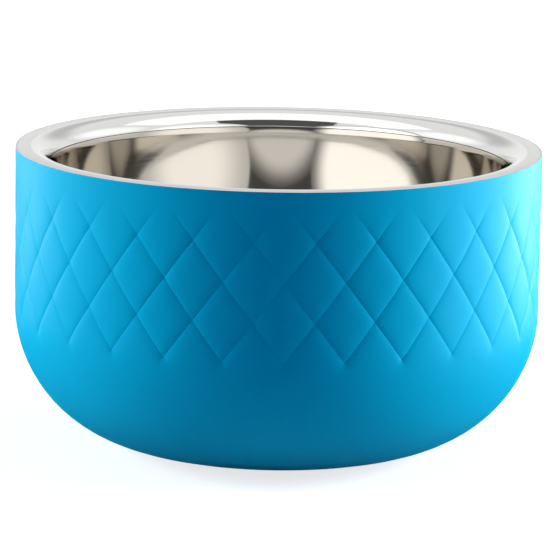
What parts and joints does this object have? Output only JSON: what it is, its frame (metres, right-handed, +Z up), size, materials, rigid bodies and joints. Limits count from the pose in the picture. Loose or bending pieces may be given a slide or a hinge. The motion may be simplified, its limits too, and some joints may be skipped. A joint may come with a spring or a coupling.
{
  "type": "triple-walled bowl",
  "caption": "Insulated steel bowl of nested walls: blue painted outside with pressed diamonds, bare flat rim with a rounded lip, mirror-polished inside, rubber ring under the base.",
  "frame": {"origin": "on the table, at the middle of the rubber ring's underside", "axes": "+Z up along the bowl's axis, -Y towards the front, where a point of the diamonds faces"},
  "size_m": [0.2, 0.2, 0.1148],
  "materials": {
    "blue_paint": "satin blue paint baked on pressed steel",
    "plain_steel": "plain drawn stainless steel",
    "mirror_steel": "mirror-polished stainless steel",
    "satin_steel": "finely polished bare stainless steel",
    "silicone": "moulded grey silicone",
    "rubber": "moulded black rubber"
  },
  "bodies": {
    "root": {"outer_shell": "blue_paint", "middle_wall": "plain_steel", "inner_bowl": "mirror_steel", "rim_ring": "satin_steel", "lower_spacer_pad": "silicone", "upper_spacer_pad": "silicone", "vent_plug": "silicone", "non_slip_ring": "rubber"}
  },
  "joints": []
}
